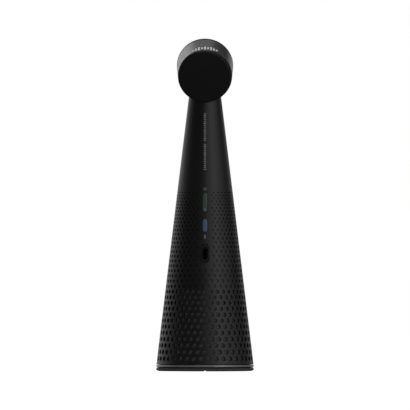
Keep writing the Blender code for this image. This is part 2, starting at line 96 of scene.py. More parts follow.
class Wire:
    # a socket that arithmetic works on
    def __init__(self, sheet, socket):
        self.sheet = sheet
        self.socket = socket

    def do(self, operation, first, second):
        return self.sheet.node("Math", {"operation": operation}, {0: first, 1: second})

    def __add__(self, other):
        return self.do("ADD", self, other)

    def __radd__(self, other):
        return self.do("ADD", other, self)

    def __sub__(self, other):
        return self.do("SUBTRACT", self, other)

    def __rsub__(self, other):
        return self.do("SUBTRACT", other, self)

    def __mul__(self, other):
        return self.do("MULTIPLY", self, other)

    def __rmul__(self, other):
        return self.do("MULTIPLY", other, self)


class Finish:
    # one material, its Principled shader and the nodes that feed it
    def __init__(self, name, **plain):
        self.material = bpy.data.materials.new(name)
        self.material.use_nodes = True
        self.tree = self.material.node_tree
        self.shader = self.tree.nodes["Principled BSDF"]
        for socket, value in plain.items():
            self.shader.inputs[socket.replace("_", " ")].default_value = value

    def node(self, kind, settings=None, inputs=None, output=0):
        made = self.tree.nodes.new("ShaderNode" + kind)
        for key, value in (settings or {}).items():
            setattr(made, key, value)
        for key, value in (inputs or {}).items():
            self.plug(made.inputs[key], value)
        return Wire(self, made.outputs[output])

    def plug(self, socket, value):
        if isinstance(value, Wire):
            self.tree.links.new(value.socket, socket)
        else:
            socket.default_value = value

    def feed(self, name, value):
        self.plug(self.shader.inputs[name], value)

    def place(self, matrix=None):
        # object coordinates in metres, turned into a piece's own frame
        spot = self.node("TexCoord", output="Object")
        if matrix is None:
            return spot
        turned = matrix.inverted()
        settings = {"vector_type": "POINT"}
        inputs = {"Vector": spot, "Location": turned.to_translation() * mm,
                  "Rotation": turned.to_euler()}
        return self.node("Mapping", settings, inputs)

    def noise(self, spot, scale, detail=2.0, roughness=0.5):
        inputs = {"Vector": spot, "Scale": scale, "Detail": detail, "Roughness": roughness}
        return self.node("TexNoise", {}, inputs)

    def blend(self, factor, first, second):
        return self.node("Mix", {"data_type": "RGBA"}, {0: factor, 6: first, 7: second}, output=2)

    def bump(self, height, distance, strength=1.0):
        inputs = {"Height": height, "Distance": distance, "Strength": strength}
        self.feed("Normal", self.node("Bump", {}, inputs))


def grey(level, tint=(1.0, 1.0, 1.0)):
    return (level * tint[0], level * tint[1], level * tint[2], 1.0)


def mouldedPlastic(name, level, roughness, grain=0.16, depth=0.012, specular=0.5, tint=(1, 1, 1)):
    # fine spark-eroded texture, with faint cloudy changes of gloss and colour
    finish = Finish(name, Specular_IOR_Level=specular)
    spot = finish.place()
    cloud = finish.noise(spot, 38.0, 3.0)
    fine = finish.noise(spot, 1.0 / (grain * mm), 2.0, 0.6)
    finish.feed("Base Color", finish.blend(cloud, grey(level * 0.85, tint), grey(level * 1.15, tint)))
    finish.feed("Roughness", cloud * 0.05 + fine * 0.06 + (roughness - 0.055))
    finish.bump(fine, depth * mm)
    return finish


shellFinish = mouldedPlastic("satin black shell", 0.0021, 0.38)
capFinish = mouldedPlastic("black cap", 0.003, 0.5, grain=0.12, depth=0.008, specular=0.22)
bezelFinish = mouldedPlastic("black bezel", 0.0022, 0.5, grain=0.1, depth=0.005, specular=0.12)
portFinish = mouldedPlastic("port surround", 0.0022, 0.5, grain=0.1, depth=0.006, specular=0.3)
# the tongue is painted almost black with hardly any gloss: painted shade for the inside of the port
tonguePaintedShadeFinish = mouldedPlastic("port tongue in painted shade", 0.0006, 0.8, grain=0.1, depth=0.004, specular=0.02)
rubberFinish = mouldedPlastic("soft rubber", 0.026, 0.72, grain=0.3, depth=0.02, specular=0.4)


weaveLook = dict(
    threads=530,            # round the whole sleeve
    pitch=0.45,             # up the sleeve
    dark=0.03,
    light=0.085,
)


def makeClothFinish():
    # open weave of the acoustic cloth, wrapped round the body
    finish = Finish("acoustic cloth", Specular_IOR_Level=0.15, Roughness=0.95)
    spot = finish.place()
    x, y, z = (finish.node("SeparateXYZ", {}, {0: spot}, output=axis) for axis in range(3))
    angle = finish.node("Math", {"operation": "ARCTAN2"}, {0: x, 1: y})
    warp = finish.node("Math", {"operation": "SINE"}, {0: angle * weaveLook["threads"]})
    weft = finish.node("Math", {"operation": "SINE"}, {0: z * (math.tau / (weaveLook["pitch"] * mm))})
    weave = warp * weft * 0.5 + 0.5
    finish.feed("Base Color", finish.blend(weave, grey(weaveLook["dark"]), grey(weaveLook["light"])))
    finish.bump(weave, 0.08 * mm)
    return finish


clothFinish = makeClothFinish()


bandLook = dict(
    hairsRound=160.0,       # noise cells for each radian round the drum
    hairsAlong=90.0,        # and for each metre along it
    cloudRound=30.0,
    cloudAlong=25.0,
    dark=0.16,
    light=0.5,
    roughness=0.24,
)


def makeBandFinish():
    # dark anodised metal, brushed along the head's axis
    finish = Finish("brushed band", Metallic=1.0)
    local = finish.place(headFrame)
    x, y, z = (finish.node("SeparateXYZ", {}, {0: local}, output=axis) for axis in range(3))
    angle = finish.node("Math", {"operation": "ARCTAN2"}, {0: x, 1: y})
    hair = finish.node("CombineXYZ", {}, {0: angle * bandLook["hairsRound"], 1: z * bandLook["hairsAlong"]})
    fine = finish.noise(hair, 1.0, 3.0, 0.7)
    broad = finish.node("CombineXYZ", {}, {0: angle * bandLook["cloudRound"], 1: z * bandLook["cloudAlong"]})
    cloud = finish.noise(broad, 1.0, 2.0)
    finish.feed("Base Color", finish.blend(fine, grey(bandLook["dark"]), grey(bandLook["light"])))
    finish.feed("Roughness", fine * 0.16 + cloud * 0.08 + bandLook["roughness"])
    finish.bump(fine, 0.012 * mm)
    return finish


def makeSatinFinish(name, level, roughness):
    # painted metal with a very fine grain
    finish = Finish(name, Metallic=0.7)
    spot = finish.place()
    fine = finish.noise(spot, 5200.0, 2.0)
    cloud = finish.noise(spot, 60.0)
    finish.feed("Base Color", finish.blend(cloud, grey(level * 0.88), grey(level * 1.12)))
    finish.feed("Roughness", fine * 0.08 + (roughness - 0.04))
    finish.bump(fine, 0.006 * mm)
    return finish


def makeTintFinish(name, colour, deep):
    # smoked window: tinted body under a clear, glossy skin
    finish = Finish(name, Roughness=0.34, Coat_Weight=0.4, Coat_Roughness=0.12)
    spot = finish.place()
    cloud = finish.noise(spot, 700.0, 2.0)
    finish.feed("Base Color", finish.blend(cloud, deep, colour))
    finish.bump(finish.noise(spot, 2600.0), 0.004 * mm)
    return finish


def makeGlassFinish():
    # black touch window with faint finger smears in its gloss
    finish = Finish("touch window", Coat_Weight=0.6, Coat_Roughness=0.04)
    spot = finish.place()
    smear = finish.noise(spot, 90.0, 4.0, 0.6)
    finish.feed("Base Color", finish.blend(smear, grey(0.003), grey(0.006)))
    finish.feed("Roughness", smear * 0.12 + 0.06)
    return finish


def makePrintFinish(name, level):
    # pad-printed ink, slightly uneven
    finish = Finish(name, Roughness=0.55)
    spot = finish.place()
    patchy = finish.noise(spot, 2400.0, 2.0)
    finish.feed("Base Color", finish.blend(patchy, grey(level * 0.8), grey(level * 1.2)))
    return finish


def makeDiffuserFinish(name, colour, glow):
    finish = Finish(name, Roughness=0.4, Emission_Strength=glow)
    spot = finish.place()
    milk = finish.noise(spot, 420.0, 3.0)
    tinted = finish.blend(milk, tuple(c * 0.85 for c in colour[:3]) + (1.0,), colour)
    finish.feed("Base Color", tinted)
    finish.feed("Emission Color", tinted)
    return finish


bandFinish = makeBandFinish()
trimFinish = makeSatinFinish("satin trim", 0.2, 0.36)
powerFinish = makeTintFinish("smoked green window", (0.02, 0.04, 0.026, 1.0), (0.015, 0.031, 0.02, 1.0))
pairingFinish = makeTintFinish("smoked blue window", (0.035, 0.065, 0.12, 1.0), (0.027, 0.05, 0.092, 1.0))
windowFinish = makeGlassFinish()
legendFinish = makePrintFinish("grey legend ink", 0.15)
iconFinish = makePrintFinish("light icon ink", 0.2)
bandMarkFinish = makePrintFinish("pale band ink", 0.75)
ringFinish = makeDiffuserFinish("light ring diffuser", (0.55, 0.62, 0.68, 1.0), 0.05)
lensFinish = makeDiffuserFinish("indicator lens", (0.16, 0.17, 0.165, 1.0), 0.0)
# the connector's metal shell is painted almost black: painted shade for the dark inside of the port
connectorPaintedShadeFinish = makeSatinFinish("connector shell in painted shade", 0.004, 0.6)
screwFinish = makeSatinFinish("black screw", 0.12, 0.35)


def innerFinish(slotName, colour, roughness, metallic, grain):
    # plain working finish of a hidden piece, with grain and uneven tone
    finish = Finish("inner " + slotName.replace("_", " "), Metallic=metallic)
    spot = finish.place()
    fine = finish.noise(spot, 1.0 / (grain * mm), 3.0)
    low = tuple(c * 0.8 for c in colour) + (1.0,)
    high = tuple(min(1.0, c * 1.2) for c in colour) + (1.0,)
    finish.feed("Base Color", finish.blend(fine, low, high))
    finish.feed("Roughness", fine * 0.15 + (roughness - 0.075))
    finish.bump(fine, grain * 0.05 * mm)
    return finish


def dressInnerNodes():
    # the working parts stay as they are and get their own finishes: colour, roughness, metallic, grain
    looks = dict(
        steel=((0.45, 0.45, 0.46), 0.4, 1.0, 0.3),
        dark_plastic=((0.012, 0.012, 0.013), 0.5, 0.0, 0.3),
        magnet=((0.06, 0.06, 0.065), 0.6, 0.2, 0.5),
        paper_cone=((0.03, 0.03, 0.03), 0.9, 0.0, 0.4),
        copper=((0.6, 0.3, 0.15), 0.35, 1.0, 0.15),
        board_green=((0.02, 0.11, 0.05), 0.45, 0.0, 0.6),
        cell_wrap=((0.05, 0.15, 0.3), 0.35, 0.0, 1.2),
        flex_film=((0.25, 0.12, 0.04), 0.35, 0.0, 0.8),
        rubber=((0.015, 0.015, 0.015), 0.8, 0.0, 0.4),
    )
    finishes = {name: innerFinish(name, *look) for name, look in looks.items()}
    slots = {part["node"]: part["material_slot"] for part in frame["record"]["subparts"]}
    for name, node in frame["nodes"].items():
        if slots[name] in finishes:
            node.data.materials.clear()
            node.data.materials.append(finishes[slots[name]].material)


def arc(centre, height, radius, start, end, steps=8):
    points = []
    for step in range(steps + 1):
        angle = math.radians(start + (end - start) * step / steps)
        points.append((centre + radius * math.cos(angle), height + radius * math.sin(angle)))
    return points


def spinOutline(outline, segments):
    # turns (radius, height) points about Z; an outline that starts on the axis stays open there
    shape = bmesh.new()
    corners = [shape.verts.new((radius, 0.0, height)) for radius, height in outline]
    edges = [shape.edges.new(pair) for pair in zip(corners, corners[1:])]
    if outline[0][0] > 1e-6:
        edges.append(shape.edges.new((corners[-1], corners[0])))
    bmesh.ops.spin(shape, geom=corners + edges, cent=(0, 0, 0), axis=(0, 0, 1),
                   angle=math.tau, steps=segments, use_merge=True)
    bmesh.ops.remove_doubles(shape, verts=shape.verts, dist=1e-4)
    bmesh.ops.recalc_face_normals(shape, faces=shape.faces)
    return shape


def makeObject(name, shape, matrix=None):
    # from millimetres in a local frame to metres in the object's frame
    if matrix is not None:
        bmesh.ops.transform(shape, matrix=matrix, verts=shape.verts)
    bmesh.ops.scale(shape, vec=(mm, mm, mm), verts=shape.verts)
    mesh = bpy.data.meshes.new(name)
    shape.to_mesh(mesh)
    shape.free()
    made = bpy.data.objects.new(name, mesh)
    bpy.context.scene.collection.objects.link(made)
    return made


def settle(piece, finish, rides, nodes=(), sharp=38.0):
    piece.data.materials.clear()
    piece.data.materials.append(finish.material)
    if sharp:
        piece.data.shade_smooth()
        piece.data.set_sharp_from_angle(angle=math.radians(sharp))
    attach(piece, rides)
    if nodes:
        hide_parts(*nodes)
    return piece


def turnedPiece(name, outline, finish, rides, nodes=(), matrix=None, segments=160):
    piece = makeObject(name, spinOutline(outline, segments), matrix)
    return settle(piece, finish, rides, nodes)


def growPill(corners, old, new):
    # carry the corners of a round-ended ring from one (depth, width, length) layer to another
    across = new[1] / old[1]
    for corner in corners:
        side = math.copysign(0.5, corner.co.z)
        rise = (corner.co.z - side * (old[2] - old[1])) * across
        corner.co = (corner.co.x * across, new[0], rise + side * (new[2] - new[1]))


def pillShape(layers, steps=16, closed=False):
    # round-ended slab through layers along Y; closed joins the last layer to the first
    shape = bmesh.new()
    turned = Matrix.Rotation(math.radians(90.0), 4, "X") @ Matrix.Rotation(math.pi / (2 * steps), 4, "Z")
    bmesh.ops.create_circle(shape, cap_ends=not closed, segments=2 * steps, radius=0.5, matrix=turned)
    edges = list(shape.edges)
    growPill(shape.verts, (0.0, 1.0, 1.0), layers[0])
    route = layers + layers[:1] if closed else layers
    for old, new in zip(route, route[1:]):
        made = bmesh.ops.extrude_edge_only(shape, edges=edges)["geom"]
        growPill([item for item in made if isinstance(item, bmesh.types.BMVert)], old, new)
        edges = [item for item in made if isinstance(item, bmesh.types.BMEdge) and item.is_boundary]
    if closed:
        bmesh.ops.remove_doubles(shape, verts=shape.verts, dist=1e-4)
    else:
        bmesh.ops.holes_fill(shape, edges=edges)
    bmesh.ops.recalc_face_normals(shape, faces=shape.faces)
    return shape


def carve(piece, tools, operation="DIFFERENCE"):
    # cut with other objects and bake the result into the mesh
    for tool in tools:
        modifier = piece.modifiers.new("carve", "BOOLEAN")
        modifier.operation = operation
        modifier.solver = "EXACT"
        modifier.object = tool
    bpy.context.view_layer.update()
    graph = bpy.context.evaluated_depsgraph_get()
    result = bpy.data.meshes.new_from_object(piece.evaluated_get(graph))
    piece.modifiers.clear()
    old = piece.data
    piece.data = result
    bpy.data.meshes.remove(old)
    for tool in tools:
        spent = tool.data
        bpy.data.objects.remove(tool)
        bpy.data.meshes.remove(spent)


grille = dict(
    columns=40,             # holes in each row, half a step over on every other row
    rows=36,                # row 0 is the highest
    throughRows=12,         # the lowest rows go right through, the others are blind
    firstHeight=160.51,
    firstStep=2.561,        # height between the first two rows
    stepGrowth=0.1002,      # added to the step from row to row
    holeShare=0.318,        # hole radius as a share of the distance between holes
    dimpleFirst=0.68,       # radius of the dimples in row 0
    dimpleLast=1.6,         # and in the last blind row
    dimpleDepth=0.9,
    rim=0.16,               # rounding of a hole's edge
    plainStrip=1.2,         # half width of the control strip, in columns
    stripEnd=94.0,          # the strip's lower end
    innerBottom=8.8,
)


def rowHeight(row):
    # fractions give the lines between rows
    return grille["firstHeight"] - row * grille["firstStep"] - grille["stepGrowth"] * row * (row - 1) / 2


def rowStep(row):
    return rowHeight(row - 0.5) - rowHeight(row + 0.5)


def holeRadius(row):
    blindRows = grille["rows"] - grille["throughRows"]
    if row >= blindRows:
        return grille["holeShare"] * math.tau * bodyRadius(rowHeight(row)) / grille["columns"]
    share = row / (blindRows - 1)
    return grille["dimpleFirst"] + (grille["dimpleLast"] - grille["dimpleFirst"]) * share


def onBody(turn, height, depth):
    # a point on the cone: turn from the rear line towards +X, depth into the wall
    radius = bodyRadius(height) - depth / slope
    lift = height - depth * body["taper"] / slope
    return Vector((radius * math.sin(turn), -radius * math.cos(turn), lift))


def honeycomb(rows, depth):
    # six-sided cells, one round each hole, laid flat as (turn, height, depth)
    shape = bmesh.new()
    rise = math.sqrt(0.75)
    for row in rows:
        for column in range(grille["columns"]):
            middle = Matrix.Translation((column + 0.5 * (row % 2), -row * rise, 0.0))
            bmesh.ops.create_circle(shape, cap_ends=True, segments=6, radius=1 / math.sqrt(3), matrix=middle)
    bmesh.ops.remove_doubles(shape, verts=shape.verts, dist=1e-3)
    bmesh.ops.subdivide_edges(shape, edges=shape.edges, cuts=1)
    step = math.tau / grille["columns"]
    cells = []
    for face in shape.faces:
        middle = face.calc_center_bounds()
        cells.append((face, middle.x * step, round(-middle.y / rise)))
    for vertex in shape.verts:
        vertex.co = (vertex.co.x * step, rowHeight(-vertex.co.y / rise), depth)
    return shape, cells


def insetRings(shape, cells, radius, depth):
    # inset every cell, then lay its new inner ring on a circle of twelve even points
    bmesh.ops.inset_individual(shape, faces=[cell[0] for cell in cells], thickness=1e-3)
    for face, turn, row in cells:
        height = rowHeight(row)
        across = bodyRadius(height)
        stretch = across * math.tau / grille["columns"] * math.sqrt(0.75) / rowStep(row)
        for vertex in face.verts:
            aim = math.atan2((vertex.co.y - height) * stretch, (vertex.co.x - turn) * across)
            aim = round(aim / (math.pi / 6)) * math.pi / 6
            side = radius(row) * math.cos(aim) / across
            up = radius(row) * math.sin(aim) / slope
            vertex.co = (turn + side, height + up, depth(row))


def inStrip(turn, row):
    # the strip up the rear that carries the controls has no dimples
    offset = (turn + math.pi) % math.tau - math.pi
    limit = grille["plainStrip"] * math.tau / grille["columns"]
    return abs(offset) < limit and rowHeight(row) > grille["stripEnd"]


def boundary(shape, low, high, inside):
    # open edges between two heights, on the inner or the outer wall
    found = []
    for edge in shape.edges:
        middle = (edge.verts[0].co + edge.verts[1].co) / 2
        depth = bodyRadius(middle.z) - math.hypot(middle.x, middle.y)
        if edge.is_boundary and low < middle.z < high and (depth > 1.0) == inside:
            found.append(edge)
    return found


def growRing(shape, edges, radius, height):
    # carry an open edge loop on to a level ring
    made = bmesh.ops.extrude_edge_only(shape, edges=edges)["geom"]
    corners = {item for item in made if isinstance(item, bmesh.types.BMVert)}
    for corner in corners:
        turn = math.atan2(corner.co.x, -corner.co.y)
        corner.co = (radius * math.sin(turn), -radius * math.cos(turn), height)
    return [item for item in made if isinstance(item, bmesh.types.BMEdge) and set(item.verts) <= corners]


shellRings = dict(
    grilleTop=(155.0, 170.0),           # heights between which the outer wall's open edge is found
    levels=(164.0, 200.0, 240.0),       # rings of the plain wall above it
    innerTop=(60.0, 95.0),
    outerBottom=(6.0, 9.0),
    innerBottom=(7.0, 12.0),
    softFoot=((0.4, 0.0), (0.15, 0.06), (0.0, 0.3)),    # rise and setback of the lower edge
)


def shellMesh():
    wall = body["wall"]
    rim = grille["rim"]
    blindRows = grille["rows"] - grille["throughRows"]
    shape, cells = honeycomb(range(grille["rows"]), 0.0)
    through = [cell for cell in cells if cell[2] >= blindRows]
    blind = [cell for cell in cells if cell[2] < blindRows and not inStrip(cell[1], cell[2])]
    insetRings(shape, through + blind, lambda row: holeRadius(row) + rim, lambda row: 0.0)
    insetRings(shape, through + blind, lambda row: holeRadius(row) + rim * 0.3, lambda row: rim * 0.3)
    insetRings(shape, through, holeRadius, lambda row: rim)
    insetRings(shape, through, holeRadius, lambda row: wall)
    insetRings(shape, blind, lambda row: holeRadius(row) * 0.9, lambda row: grille["dimpleDepth"])
    bmesh.ops.delete(shape, geom=[cell[0] for cell in through], context="FACES_ONLY")

    inner, cells = honeycomb(range(blindRows, grille["rows"]), wall)
    for vertex in inner.verts:
        vertex.co.y = max(vertex.co.y, grille["innerBottom"])
    insetRings(inner, cells, holeRadius, lambda row: wall)
    bmesh.ops.delete(inner, geom=[cell[0] for cell in cells], context="FACES_ONLY")
    spare = bpy.data.meshes.new("innerWall")
    inner.to_mesh(spare)
    inner.free()
    shape.from_mesh(spare)
    bpy.data.meshes.remove(spare)

    for vertex in shape.verts:
        vertex.co = onBody(*vertex.co)
    bmesh.ops.remove_doubles(shape, verts=shape.verts, dist=2e-3)

    top = body["top"]
    edges = boundary(shape, *shellRings["grilleTop"], False)
    for height in shellRings["levels"] + (top,):
        edges = growRing(shape, edges, bodyRadius(height), height)
    growRing(shape, edges, bodyRadius(top) - wall, top)
    growRing(shape, boundary(shape, *shellRings["innerTop"], True), bodyRadius(top) - wall, top)
    bottom = body["bottom"]
    edges = boundary(shape, *shellRings["outerBottom"], False)
    for rise, back in shellRings["softFoot"]:
        edges = growRing(shape, edges, bodyRadius(bottom + rise) - back, bottom + rise)
    growRing(shape, edges, body["lipRadius"], bottom)
    edges = boundary(shape, *shellRings["innerBottom"], True)
    for radius, height in ((bodyRadius(body["lipTop"]) - wall, body["lipTop"]),
                           (body["lipRadius"], body["lipTop"]), (body["lipRadius"], bottom)):
        edges = growRing(shape, edges, radius, height)
    bmesh.ops.remove_doubles(shape, verts=shape.verts, dist=2e-3)
    bmesh.ops.triangulate(shape, faces=[face for face in shape.faces if len(face.verts) > 4])
    bmesh.ops.recalc_face_normals(shape, faces=shape.faces)
    print("  open edges left in the shell:", sum(edge.is_boundary for edge in shape.edges))
    return shape


def coneNormals(piece):
    # where the surface is the plain cone, shade it as a true cone
    mesh = piece.data
    count = len(mesh.loops)
    places = np.empty(len(mesh.vertices) * 3)
    mesh.vertices.foreach_get("co", places)
    corners = np.empty(count, dtype=int)
    mesh.loops.foreach_get("vertex_index", corners)
    spots = places.reshape(-1, 3)[corners] / mm
    normals = np.empty(count * 3)
    mesh.corner_normals.foreach_get("vector", normals)
    normals = normals.reshape(-1, 3)
    facing = np.empty(len(mesh.polygons) * 3)
    mesh.polygon_normals.foreach_get("vector", facing)
    sizes = np.empty(len(mesh.polygons), dtype=int)
    mesh.polygons.foreach_get("loop_total", sizes)
    facing = np.repeat(facing.reshape(-1, 3), sizes, axis=0)
    reach = np.hypot(spots[:, 0], spots[:, 1])
    ideal = np.stack([spots[:, 0] / reach, spots[:, 1] / reach, np.full(count, body["taper"])], axis=1)
    ideal /= slope
    near = np.abs(reach - (body["floorRadius"] - body["taper"] * spots[:, 2])) < 0.02
    plain = near & (np.sum(ideal * facing, axis=1) > math.cos(math.radians(9.0)))
    normals[plain] = ideal[plain]
    mesh.normals_split_custom_set(normals.tolist())


controls = dict(
    width=4.0,
    proud=0.25,
    power=dict(height=151.7, length=17.7),
    pairing=dict(height=131.0, length=11.4),
    port=dict(height=106.0, width=7.4, length=16.4),
)


def slotTool(height, width, length):
    # cutter for a round-ended slot, with a fine chamfer at the surface
    chamfer = 0.12
    wide = width + 2 * clearance
    tall = length + 2 * clearance
    layers = [(-4.0, wide + 2 * chamfer, tall + 2 * chamfer), (0.02, wide + 2 * chamfer, tall + 2 * chamfer),
              (0.02 + 1.5 * chamfer, wide, tall), (6.0, wide, tall)]
    return makeObject("slotTool", pillShape(layers), panelFrame(height))


def headOutline(grow, end):
    edge = head["edge"]
    rear = arc(headRadius(edge) - edge, edge, edge + grow, -90.0, 0.0)
    return [(0, -grow)] + rear + [(headRadius(end) + grow, end), (0, end)]


def rodTool(radius, low, high, place=(0, 0, 0), segments=32):
    outline = [(0, high), (radius, high), (radius, low), (0, low)]
    return makeObject("rodTool", spinOutline(outline, segments), Matrix.Translation(place))


def around(count, radius, start):
    spots = []
    for number in range(count):
        angle = math.radians(start + 360.0 * number / count)
        spots.append((radius * math.cos(angle), radius * math.sin(angle), 0.0))
    return spots


def buildShell():
    shell = makeObject("bodyShell", shellMesh())
    width = controls["width"]
    power, pairing, port = controls["power"], controls["pairing"], controls["port"]
    tools = [makeObject("saddleTool", spinOutline(headOutline(clearance, 44.0), 160), headFrame),
             slotTool(power["height"], width, power["length"]),
             slotTool(pairing["height"], width, pairing["length"]),
             slotTool(port["height"], port["width"], port["length"])]
    tools += [rodTool(1.3, 4.0, 9.4, spot, 24) for spot in around(3, 39.2, 90.0)]
    carve(shell, tools)
    settle(shell, shellFinish, "body", ["body_shell"], sharp=50.0)
    coneNormals(shell)
    print("  shell faces", len(shell.data.polygons))


cloth = dict(low=9.0, high=86.0, thickness=0.6)


def buildCloth():
    low, high = cloth["low"], cloth["high"]
    front = body["wall"] + clearance
    back = front + cloth["thickness"]
    outline = [(bodyRadius(low) - front, low), (bodyRadius(high) - front, high),
               (bodyRadius(high) - back, high), (bodyRadius(low) - back, low)]
    turnedPiece("grilleCloth", outline, clothFinish, "body", ["grille_cloth"])


base = dict(
    footTop=2.8,
    footInner=30.0,
    footOuter=43.9,
    notchRadius=1.5,
    notchCentre=(0.0, -40.0, -0.8),
    coverLow=3.1,
    coverHigh=5.7,
    coverRadius=42.4,
    flangeRadius=43.6,
    flangeTop=3.6,
    trimLow=3.9,
    trimHigh=5.6,
    trimInner=42.7,
    trimOuter=43.9,
)

# circle that the screws stand on, and where the first one is
baseScrews = dict(
    base_screw=dict(count=3, circle=39.2, start=90.0, shank=1.0, length=4.0, cap=2.1, capHeight=1.1,
                    seat=4.5),
    leg_screw=dict(count=3, circle=29.0, start=30.0, shank=1.5, length=16.0, cap=2.6, capHeight=1.2,
                   seat=4.6),
    weight_screw=dict(count=1, circle=0.0, start=0.0, shank=1.5, length=16.0, cap=2.6, capHeight=1.2,
                      seat=4.6),
)


def buildFoot():
    inner, outer, top = base["footInner"], base["footOuter"], base["footTop"]
    outline = ([(inner, 0.3), (inner + 0.3, 0.0), (outer - 2.6, 0.0)]
               + arc(outer - 2.5, 0.8, 0.8, -80.0, -45.0, 5)
               + arc(outer - 1.2, 1.6, 1.2, -42.0, 0.0, 6)
               + arc(outer - 0.3, top - 0.3, 0.3, 0.0, 80.0, 5) + [(outer - 0.4, top), (inner, top)])
    foot = makeObject("footRing", spinOutline(outline, 160))
    radius = base["notchRadius"]
    lie = Matrix.Translation(base["notchCentre"]) @ Matrix.Rotation(math.radians(90.0), 4, "X")
    rod = spinOutline([(0, 10.0), (radius, 10.0), (radius, -12.0), (0, -12.0)], 32)
    notch = makeObject("notchTool", rod, lie)
    carve(foot, [notch])
    settle(foot, rubberFinish, "body", ["foot_ring"])


def buildBottomCover():
    low, high, step = base["coverLow"], base["coverHigh"], base["flangeTop"]
    radius, rim = base["coverRadius"], base["flangeRadius"]
    outline = [(0, high), (radius, high), (radius, step), (rim - 0.1, step), (rim, step - 0.1),
               (rim, low + 0.1), (rim - 0.1, low), (0, low)]
    cover = makeObject("bottomCover", spinOutline(outline, 160))
    tools = []
    for screw in baseScrews.values():
        bore = screw["shank"] + clearance
        recess = screw["cap"] + clearance
        ledge = screw["seat"] + clearance
        profile = [(0, 7.0), (bore, 7.0), (bore, ledge), (recess, ledge), (recess, 2.0), (0, 2.0)]
        for spot in around(screw["count"], screw["circle"], screw["start"]):
            tools.append(makeObject("boreTool", spinOutline(profile, 40), Matrix.Translation(spot)))
    carve(cover, tools)
    settle(cover, bezelFinish, "body", ["bottom_cover"])


def buildTrimRing():
    low, high, inner, outer = base["trimLow"], base["trimHigh"], base["trimInner"], base["trimOuter"]
    outline = ([(inner, high), (outer - 0.3, high)] + arc(outer - 0.25, high - 0.25, 0.25, 70.0, 0.0, 4)
               + arc(outer - 0.25, low + 0.25, 0.25, 0.0, -70.0, 4) + [(outer - 0.3, low), (inner, low)])
    turnedPiece("baseTrimRing", outline, trimFinish, "body", ["base_trim_ring"])


def buildBaseScrews():
    # pan heads with a hexagon socket, pointing down
    for name, sizes in baseScrews.items():
        shank, length, cap, tall = sizes["shank"], sizes["length"], sizes["cap"], sizes["capHeight"]
        outline = ([(0, tall), (cap * 0.6, tall)] + arc(cap * 0.75, tall * 0.55, cap * 0.25, 60.0, 0.0, 4)
                   + [(cap, 0), (shank, 0), (shank, 0.3 - length), (shank - 0.3, -length), (0, -length)])
        for number, spot in enumerate(around(sizes["count"], sizes["circle"], sizes["start"]), 1):
            node = name if sizes["count"] == 1 else f"{name}_{number}"
            flip = Matrix.Translation((spot[0], spot[1], sizes["seat"])) @ Matrix.Rotation(math.pi, 4, "X")
            screw = makeObject(node.replace("_", "-") + "-head", spinOutline(outline, 40), flip)
            socket = bmesh.new()
            bmesh.ops.create_cone(socket, cap_ends=True, segments=6, radius1=cap * 0.42, radius2=cap * 0.42,
                                  depth=tall * 1.6, matrix=Matrix.Translation((0, 0, tall)))
            carve(screw, [makeObject("socketTool", socket, flip)])
            settle(screw, screwFinish, "body", [node])


def filletLayers(face, width, length, radius, steps=4):
    # layers of a round-ended slab whose front edge is rounded
    layers = []
    for step in range(steps + 1):
        angle = math.radians(90.0 * step / steps)
        inset = radius * (1 - math.sin(angle))
        layers.append((face + radius * (1 - math.cos(angle)), width - 2 * inset, length - 2 * inset))
    return layers


keyShape = dict(
    edge=0.22,              # rounding of the visible edge
    flange=2.0,             # how much wider the hidden flange is
    flangeFront=2.9,
    flangeBack=3.7,
    plungerRadius=1.2,
    plungerFront=3.2,       # starts inside the flange
    plungerBack=5.6,
)

lamp = dict(
    fromEnd=2.6,            # from the lower end of the power key
    pocketRadius=1.1,
    pocketDepth=1.5,
    radius=0.8,
    back=1.2,
    proud=0.2,
)


def buildButton(name, node, sizes, finish):
    width, length = controls["width"], sizes["length"]
    wide, tall = width + keyShape["flange"], length + keyShape["flange"]
    front, back = keyShape["flangeFront"], keyShape["flangeBack"]
    layers = filletLayers(-controls["proud"], width, length, keyShape["edge"])
    layers += [(front, width, length), (front, wide, tall), (back, wide, tall)]
    frameHere = panelFrame(sizes["height"])
    button = makeObject(name, pillShape(layers), frameHere)
    lie = Matrix.Rotation(math.radians(-90.0), 4, "X")
    if node == "power_button":
        place = frameHere @ Matrix.Translation((0, 0, lamp["fromEnd"] - length / 2)) @ lie
        radius, depth = lamp["pocketRadius"], lamp["pocketDepth"]
        pocket = spinOutline([(0, depth), (radius, depth), (radius, -1.0), (0, -1.0)], 40)
        carve(button, [makeObject("pocketTool", pocket, place)])
        radius, back, proud = lamp["radius"], lamp["back"], lamp["proud"]
        outline = ([(0, back), (radius, back)] + arc(radius - proud, 0.0, proud, 0.0, -90.0, 4)
                   + [(0, -proud)])
        turnedPiece("indicatorLens", outline, lensFinish, node, ["power_indicator_lens"],
                    place, 40)
    radius, front, back = keyShape["plungerRadius"], keyShape["plungerFront"], keyShape["plungerBack"]
    plunger = spinOutline([(0, back), (radius, back), (radius, front), (0, front)], 40)
    carve(button, [makeObject("plungerTool", plunger, frameHere @ lie)], "UNION")
    settle(button, finish, node, [node])


inlet = dict(
    face=0.15,              # depth of the surround's face
    edge=0.35,
    back=2.7,
    mouth=(5.2, 11.1),      # width and length of the opening
    shell=(3.2, 8.9),
    shellWall=0.3,
    shellFront=1.2,
    shellFloor=6.8,
    shellBack=7.7,
    tongue=(0.7, 4.7, 6.4),
    tongueDepth=4.4,
    tongueEdge=0.12,
)


